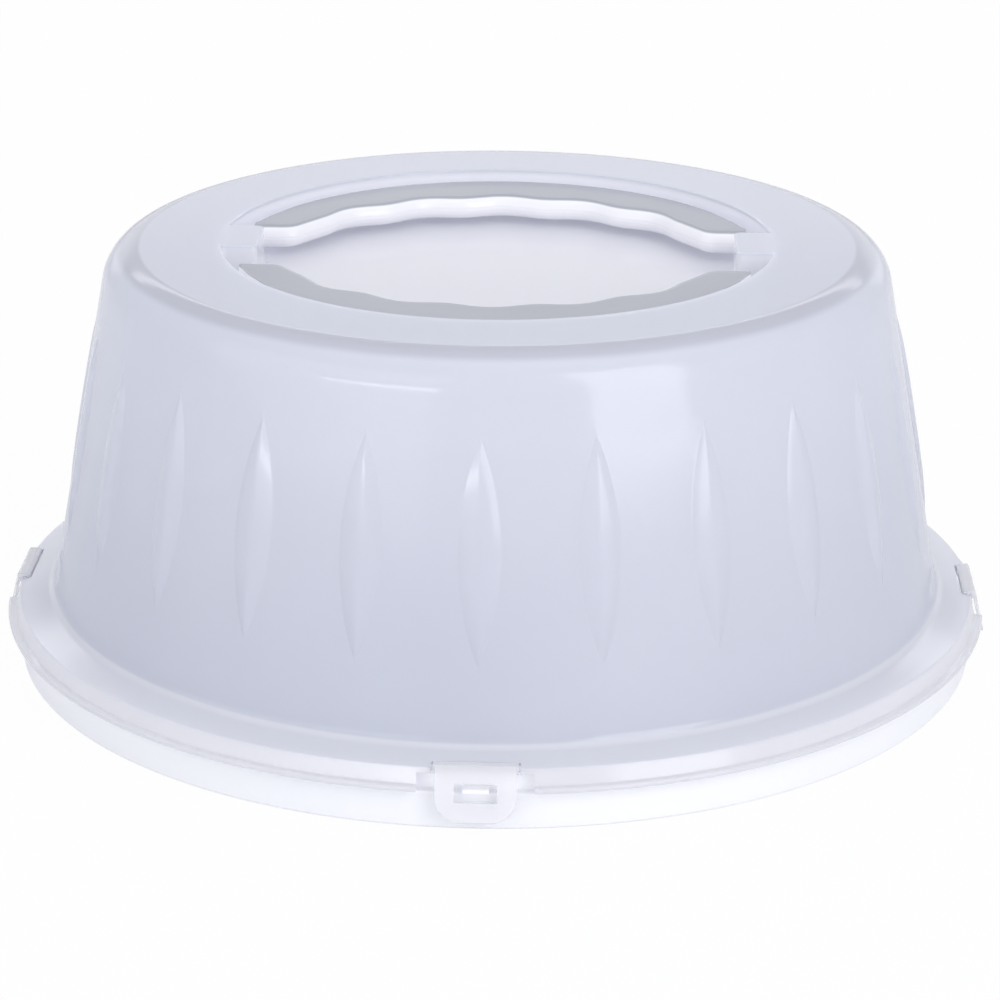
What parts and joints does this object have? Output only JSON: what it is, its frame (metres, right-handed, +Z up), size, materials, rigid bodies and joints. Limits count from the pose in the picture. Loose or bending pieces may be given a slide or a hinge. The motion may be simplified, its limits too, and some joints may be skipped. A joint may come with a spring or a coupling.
{
  "type": "cake carrier",
  "caption": "Round cake carrier: a shallow tray, a clear domed lid held by swing clips, and crescent handles that fold flat into a pocket in the lid's top.",
  "frame": {"origin": "middle of the tray's underside, on the table", "axes": "+Z up, -Y towards the front clip, +X towards the right clip"},
  "size_m": [0.3528, 0.3528, 0.146],
  "materials": {
    "tray_plastic": "white moulded polypropylene with a faint satin sheen",
    "clear_lid": "hazy see-through polypropylene, glossy, with a cool lilac-grey cast",
    "handle_plastic": "smooth pale grey polypropylene",
    "clear_clip": "milky see-through polypropylene, glossy"
  },
  "bodies": {
    "tray": {"tray": "tray_plastic"},
    "lid": {"lid": "clear_lid"},
    "front_handle": {"front_handle": "handle_plastic"},
    "rear_handle": {"rear_handle": "handle_plastic"},
    "front_clip": {"front_clip": "clear_clip"},
    "right_clip": {"right_clip": "clear_clip"},
    "rear_clip": {"rear_clip": "clear_clip"},
    "left_clip": {"left_clip": "clear_clip"}
  },
  "joints": [
    {"name": "lid_lift", "type": "slide", "parent": "tray", "child": "lid", "axis": [0, 0, 1], "range_m": [0, 0.16]},
    {"name": "front_handle_swing", "type": "hinge", "parent": "lid", "child": "front_handle", "pos_m": [0, -0.0264, 0.1388], "axis": [-1, 0, 0], "range_deg": [0, 105]},
    {"name": "rear_handle_swing", "type": "hinge", "parent": "lid", "child": "rear_handle", "pos_m": [0, 0.0264, 0.1388], "axis": [1, 0, 0], "range_deg": [0, 105]},
    {"name": "front_clip_swing", "type": "hinge", "parent": "lid", "child": "front_clip", "pos_m": [0, -0.1687, 0.0206], "axis": [-1, 0, 0], "range_deg": [0, 105]},
    {"name": "right_clip_swing", "type": "hinge", "parent": "lid", "child": "right_clip", "pos_m": [0.1687, 0, 0.0206], "axis": [0, -1, 0], "range_deg": [0, 105]},
    {"name": "rear_clip_swing", "type": "hinge", "parent": "lid", "child": "rear_clip", "pos_m": [0, 0.1687, 0.0206], "axis": [1, 0, 0], "range_deg": [0, 105]},
    {"name": "left_clip_swing", "type": "hinge", "parent": "lid", "child": "left_clip", "pos_m": [-0.1687, 0, 0.0206], "axis": [0, 1, 0], "range_deg": [0, 105]}
  ]
}
